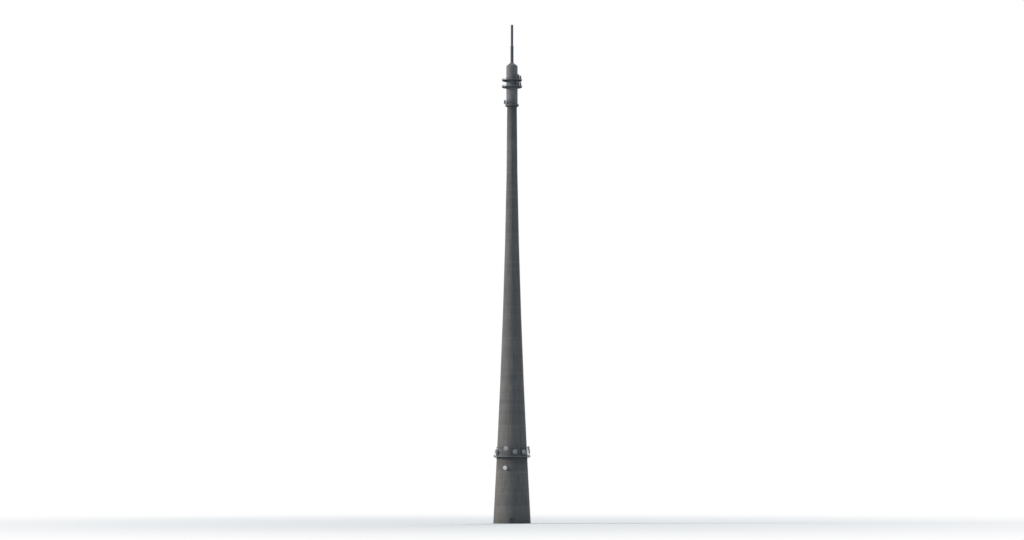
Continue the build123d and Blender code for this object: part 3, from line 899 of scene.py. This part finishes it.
def round_dishes(node):
    """Smooth dishes with rolled rims and crowned radomes, in the places of a CAD node's solids."""
    rib_count, rib_radius, rib_lap, rib_inset = 8, 0.0028, 0.002, 0.004
    clamp_count, clamp_size = 12, (3 * RIM_SIZE, 0.008, 0.004)
    bend_share, bend_swell = DISH_BOWL[1]
    bodies, ribs = Shape(), Shape()
    for solid in separate_solids(node):
        bearing, back, front, low, high = radial_extent(solid)
        radius, depth = (high - low) / 2, front - back
        cone_end = DISH_CONE_SHARE * depth
        bend_radius = DISH_HUB_RADIUS + bend_swell * (radius - DISH_HUB_RADIUS)
        place = outward(bearing, back, (low + high) / 2)
        add_turned(bodies, place, dish_profile(radius, depth))
        for angle in bearings(rib_count, 0.5):
            turn = place @ Matrix.Rotation(math.radians(angle), 4, "X")
            start = turn @ Vector((0, 0, DISH_HUB_RADIUS))
            bend = turn @ Vector((bend_share * cone_end - rib_lap, 0, bend_radius))
            end = turn @ Vector((cone_end, 0, radius - rib_inset))
            add_rod(ribs, start, bend, rib_radius, THIN_ROD_SEGMENTS)
            add_rod(ribs, bend, end, rib_radius, THIN_ROD_SEGMENTS)
        for angle in bearings(clamp_count):
            turn = place @ Matrix.Rotation(math.radians(angle), 4, "X")
            add_box(ribs, turn @ at(depth - RIM_SIZE, 0, radius), clamp_size)
    piece = make_piece(f"{node}_round", bodies, slots[node])
    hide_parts(node)
    make_piece(f"{node}_ribs", ribs, smooth=False)


def mount_details(node, dish_node):
    """Base plates, clamps and side struts of the dish mounts."""
    base_plate, bolt_offset, cap_plate = (0.036, 0.036, 0.004), 0.013, (0.018, 0.018, 0.003)
    clamp, clamp_offset = (0.022, 0.026, 0.014), 0.025
    strut_radius, strut_drop, strut_spread = 0.003, 0.35, 0.80
    degrees_per_metre = 10
    details = Shape()
    dishes = [radial_extent(solid) for solid in separate_solids(dish_node)]
    for solid in separate_solids(node):
        bearing, inner, _outer, low, high = radial_extent(solid)
        reach = inner + MOUNT_POST_SIZE / 2
        add_box(details, outward(bearing, reach, low + base_plate[2] / 2), base_plate)
        plate_top = outward(bearing, reach, low + base_plate[2])
        for x, y in CORNERS:
            add_bolt(details, plate_top @ at(x * bolt_offset, y * bolt_offset, 0) @ UPRIGHT)
        add_box(details, outward(bearing, reach, high), cap_plate)

        # The dish that this mount carries is the one nearest in bearing and level
        _bearing, back, front, dish_low, dish_high = min(
            dishes, key=lambda dish: abs(dish[0] - bearing) + degrees_per_metre * abs(dish[3] - low)
        )
        hub_level = (dish_low + dish_high) / 2
        radius, depth = (dish_high - dish_low) / 2, front - back
        for offset in (-clamp_offset, clamp_offset):
            add_box(details, outward(bearing, reach, hub_level + offset), clamp)
        place = outward(bearing, 0, hub_level)
        start = place @ Vector((reach, 0, -strut_drop * radius))
        for side in (-1, 1):
            end = (back + DISH_CONE_SHARE * depth, side * strut_spread * radius, -strut_drop * radius)
            add_rod(details, start, place @ Vector(end), strut_radius)
    make_piece(f"{node}_details", details)


def side_dish_details():
    """Bolts on the wall plates of the white dish's bracket."""
    plate_half, plate_face, bolt_offset = 0.015, 0.0053, 0.010
    bearing, _inner, _outer, low, high = radial_extent(separate_solids("side_dish_bracket")[0])
    details = Shape()
    for level in (low + plate_half, high - plate_half):
        face = outward(bearing, wall_radius(level - plate_half) + plate_face, level)
        for y, z in CORNERS:
            add_bolt(details, face @ at(0, y * bolt_offset, z * bolt_offset))
    make_piece("side_dish_bracket_bolts", details)


# Head and aerial


def cladding_strips():
    """Cover strips down the panel joints of the head and hoops round it, both broken at its doors."""
    strips, hoops = Shape(), Shape()
    door_half = SIDE_DOOR_HALF + DOOR_TRIM
    door_tops = [max(point.z for point in solid) + DOOR_TRIM for solid in separate_solids("head_doors")]
    for node in HEAD_SHELLS:
        bottom, top = cladding_span(node)
        door_top = min(level for level in door_tops if level > bottom)
        for bearing in bearings(PANELS, 0.5 / PANEL_FLATS):
            joint = outward(bearing, corner_radius(SHELL_RADIUS, SHELL_SIDES), 0)
            at_door = joint.translation.x < 0 and abs(joint.translation.y) < door_half
            foot = door_top if at_door else bottom
            strip = (2 * STRIP_DEPTH, STRIP_WIDTH, top - foot)
            add_box(strips, at(0, 0, (foot + top) / 2) @ joint, strip)
        for level in hoop_levels(node):
            doorway = (SIDE_DOOR_BEARING, door_half) if level < door_top + HOOP_HEIGHT else None
            flats = [SHELL_RADIUS + HOOP_DEPTH] * 2
            add_band(hoops, level, flats, SHELL_SIDES, 2 * HOOP_DEPTH, HOOP_HEIGHT, doorway)
    make_piece("head_cover_strips", strips, "head_cladding", smooth=False)
    make_piece("head_hoops", hoops, "head_cladding", smooth=False)


def dome_ribs():
    """Ribs up the corners of the domed roof, and an eaves trim."""
    shoulder_rise, shoulder_inset = 0.080, 0.040
    eaves_rise, eaves_proud, eaves_width, eaves_height = 0.004, 0.006, 0.010, 0.012
    low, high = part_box("head_dome")
    stations = (
        (SHELL_RADIUS, low.z),
        (SHELL_RADIUS - shoulder_inset, low.z + shoulder_rise),
        (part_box("aerial_foot")[1][0], high.z),
    )
    ribs = Shape()
    for bearing in bearings(PANELS, 0.5 / PANEL_FLATS):
        points = [
            outward(bearing, corner_radius(flat, SHELL_SIDES), level).translation for flat, level in stations
        ]
        for start, end in zip(points, points[1:]):
            add_bar(ribs, start, end, STRIP_WIDTH, 2 * STRIP_DEPTH)
    flats = [SHELL_RADIUS + eaves_proud] * 2
    add_band(ribs, low.z + eaves_rise, flats, SHELL_SIDES, eaves_width, eaves_height)
    make_piece("head_dome_ribs", ribs, "head_cladding", smooth=False)


def aerial_bands():
    """Flanged joints with bolts between the lengths of the aerial's cylinders."""
    bands, bolts = Shape(), Shape()
    for node, lengths in AERIAL_LENGTHS.items():
        add_flanges(bands, bolts, node, lengths)
    for foot, tube, count in (("aerial_foot", "aerial_lower", 16), ("aerial_collar", "aerial_upper", 12)):
        add_gussets(bolts, foot, tube, count)
    make_piece("aerial_joint_bands", bands, "aerial_cladding")
    make_piece("aerial_joint_bolts", bolts, smooth=False)


def add_flanges(bands, bolts, node, lengths):
    """Pairs of bolted flanges between a tube's lengths, and cover strips up it."""
    flange_offset, bolt_count, bolt_size = 0.55 * BAND_HEIGHT, 12, (0.005, 0.006, 2.9 * BAND_HEIGHT)
    strip_count, strip_out, strip_depth, strip_width, strip_margin = 4, 0.0008, 0.003, 0.010, 0.002
    low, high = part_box(node)
    radius, height, half = high.x, high.z - low.z, BAND_HEIGHT / 2
    flange = [
        (-half, radius + 0.5 * BAND_DEPTH),
        (-0.6 * half, radius + BAND_DEPTH),
        (0.6 * half, radius + BAND_DEPTH),
        (half, radius + 0.5 * BAND_DEPTH),
    ]
    for step in range(1, lengths):
        level = low.z + height * step / lengths
        for offset in (-flange_offset, flange_offset):
            add_turned(bands, at(0, 0, level + offset) @ UPRIGHT, flange)
        for bearing in bearings(bolt_count):
            add_box(bolts, outward(bearing, radius + 0.6 * BAND_DEPTH, level), bolt_size)
    strip = (strip_depth, strip_width, height - 2 * strip_margin)
    for bearing in bearings(strip_count, 0.5):
        add_box(bands, outward(bearing, radius + strip_out, (low.z + high.z) / 2), strip)


def add_gussets(shape, foot, tube, count):
    """Bolts and gussets on the flange that a tube of the aerial stands on."""
    gusset_margin, gusset_width, gusset_height = 0.002, 0.003, 0.016
    inner, outer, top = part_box(tube)[1][0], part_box(foot)[1][0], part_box(foot)[1][2]
    reach = (inner + outer) / 2
    gusset = (outer - inner - 2 * gusset_margin, gusset_width, gusset_height)
    for bearing in bearings(count, 0.5):
        add_bolt(shape, outward(bearing, reach, top) @ UPRIGHT)
    for bearing in bearings(count):
        add_box(shape, outward(bearing, reach, top + gusset_height / 2), gusset)


def lamps():
    """Domed red lamps on cast bases, with guard wires."""
    segments, wire_count, wire_radius, crown_gap = 20, 4, 0.0008, 0.001
    glass, bases = Shape(), Shape()
    for solid in separate_solids("warning_lamps"):
        middle = sum(solid, Vector()) / len(solid)
        _bearing, _inner, _outer, low, high = radial_extent(solid)
        radius = max((point.xy - middle.xy).length for point in solid)
        height = high - low
        base_top, dome_foot, dome_rise = 0.30 * height, 0.55 * height, 0.40 * height
        dome_radius = 0.70 * radius
        foot = at(middle.x, middle.y, low)
        base = [(0, radius), (0.7 * base_top, radius), (base_top, 0.85 * radius)]
        add_turned(bases, foot @ UPRIGHT, base, segments)
        dome = [(base_top, 0.72 * radius), (dome_foot, dome_radius)]
        for share in (0.3, 0.6, 0.85, 0.98):
            dome.append((dome_foot + dome_rise * share, dome_radius * math.sqrt(1 - share * share)))
        add_turned(glass, foot @ UPRIGHT, dome, segments)
        for angle in bearings(wire_count):
            turn = foot @ Matrix.Rotation(math.radians(angle), 4, "Z")
            start = turn @ Vector((0.86 * radius, 0, base_top))
            shoulder = turn @ Vector((0.84 * radius, 0, 0.75 * height))
            crown = turn @ Vector((0, 0, height - crown_gap))
            add_rod(bases, start, shoulder, wire_radius, THIN_ROD_SEGMENTS)
            add_rod(bases, shoulder, crown, wire_radius, THIN_ROD_SEGMENTS)
    piece = make_piece("warning_lamp_glasses", glass, "lamp_red")
    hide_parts("warning_lamps")
    make_piece("warning_lamp_bases", bases)


# Floor, light and camera


def seen_rays(tree):
    """One for rays from the camera, off mirrors and through glass, and nought for the rest."""
    path = tree.nodes.new("ShaderNodeLightPath")
    seen = maths(tree, "MAXIMUM", path.outputs["Is Camera Ray"], path.outputs["Is Glossy Ray"])
    return maths(tree, "MAXIMUM", seen, path.outputs["Is Transmission Ray"])


def blend_shaders(tree, share, first, second, output):
    """Two shaders mixed and sent to an output."""
    blend = tree.nodes.new("ShaderNodeMixShader")
    for value, socket in zip((share, first, second), blend.inputs):
        tree.links.new(value, socket)
    tree.links.new(blend.outputs[0], output.inputs["Surface"])


def set_floor():
    """A pale floor that fades to white far off."""
    half, level, fade_start, fade_end = 900.0, -0.002, 4.0, 60.0
    mesh = bpy.data.meshes.new("floor")
    mesh.from_pydata([(x * half, y * half, level) for x, y in CORNERS], [], [(0, 1, 2, 3)])
    floor = add_object("floor", mesh)
    material, tree, shader, place, (x, y, _z) = new_material("pale_floor")
    pale = mix(tree, noise(tree, place, scale=0.7), (0.81, 0.79, 0.765), (0.87, 0.85, 0.825))
    seen = seen_rays(tree)
    feed(tree, mix(tree, seen, FLOOR_BOUNCE, pale), shader.inputs["Base Color"])
    shader.inputs["Roughness"].default_value = 0.9
    shader.inputs["Specular IOR Level"].default_value = 0.1
    white = tree.nodes.new("ShaderNodeEmission")
    share = maths(tree, "MULTIPLY", seen, rise(tree, length_of(tree, x, y), fade_start, fade_end))
    blend_shaders(tree, share, shader.outputs[0], white.outputs[0], tree.nodes["Material Output"])
    mesh.materials.append(material)


def set_light():
    """Even light from all round, white behind the mast, a lamp on the left and one behind it."""
    world = bpy.data.worlds.new("studio")
    bpy.context.scene.world = world
    world.use_nodes = True
    tree = world.node_tree
    fill, behind = tree.nodes["Background"], tree.nodes.new("ShaderNodeBackground")
    fill.inputs["Color"].default_value = (0.65, 0.82, 1.0, 1.0)
    fill.inputs["Strength"].default_value = 0.42
    behind.inputs["Color"].default_value = (1.0, 1.0, 1.0, 1.0)
    blend_shaders(tree, seen_rays(tree), fill.outputs[0], behind.outputs[0], tree.nodes["World Output"])
    for name, settings in LAMPS.items():
        lamp = bpy.data.lights.new(name, "SUN")
        lamp.energy = settings["energy"]
        lamp.angle = math.radians(settings["softness"])
        lamp.color = settings["colour"]
        light = add_object(name, lamp)
        light.rotation_euler = (math.radians(90 - settings["rise"]), 0, math.radians(-settings["bearing"]))


def set_camera():
    """A camera low down and far off that looks up at the middle of the mast."""
    lens = bpy.data.cameras.new("camera")
    lens.sensor_width = 36.0
    lens.lens = 86.0
    lens.clip_end = 3000.0
    camera = add_object("camera", lens)
    camera.location = (0.0, -160.0, 2.5)
    aim = Vector((0.0, 0.0, 16.55)) - camera.location
    camera.rotation_euler = aim.to_track_quat("-Z", "Y").to_euler()
    bpy.context.scene.camera = camera


dress_nodes()
lift_seams()
entrance_details()
side_door_details()
for name, (sides, radius_at) in WALKWAYS.items():
    railing_infill(name, sides)
    deck_details(name, sides, radius_at)
    bracket_details(name, sides, radius_at)
cage_bracing()
for node in ("lower_gallery_dishes", "head_gallery_dishes", "large_drums", "side_dish"):
    round_dishes(node)
mount_details("lower_gallery_dish_mounts", "lower_gallery_dishes")
mount_details("head_gallery_dish_mounts", "head_gallery_dishes")
mount_details("large_drum_mounts", "large_drums")
side_dish_details()
cladding_strips()
dome_ribs()
aerial_bands()
lamps()
set_floor()
set_light()
set_camera()
bpy.context.scene.view_settings.view_transform = "Standard"
